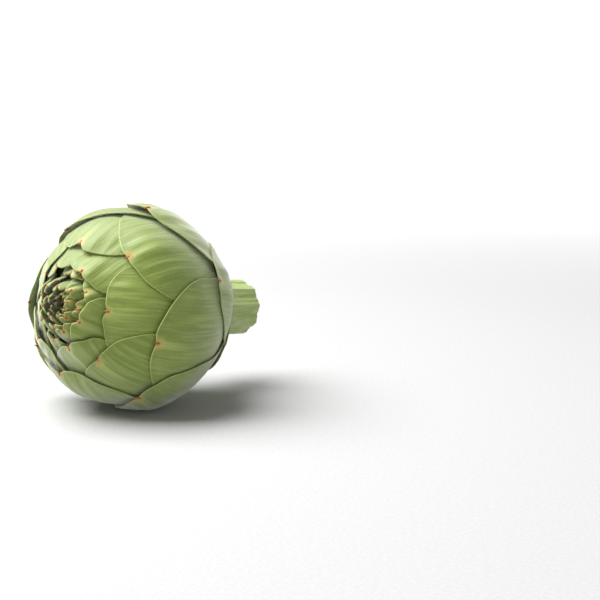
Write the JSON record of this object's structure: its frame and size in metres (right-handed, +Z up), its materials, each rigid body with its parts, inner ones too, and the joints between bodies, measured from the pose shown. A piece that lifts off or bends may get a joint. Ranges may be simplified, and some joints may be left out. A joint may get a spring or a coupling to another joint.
{
  "type": "globe artichoke",
  "caption": "Whole globe artichoke lying on its side: round bud of overlapping notched bracts, spiral crown of small tips, short ribbed cut stem.",
  "frame": {"origin": "bottom centre of the whole object's box, on the surface it lies on", "axes": "+Z up; the bud's axis lies in the XZ plane with the crown to -X, raised 7 degrees, and the stem to +X"},
  "size_m": [0.0968, 0.0754, 0.0749],
  "materials": {
    "bract_green": "matte waxy plant skin, fine lengthwise veins, paler bloom on top",
    "stem_green": "matte, pale, ribbed and slightly downy plant skin, dull grey-green pith at the cut"
  },
  "bodies": {
    "root": {"bud": "bract_green", "stem": "stem_green"}
  },
  "joints": []
}
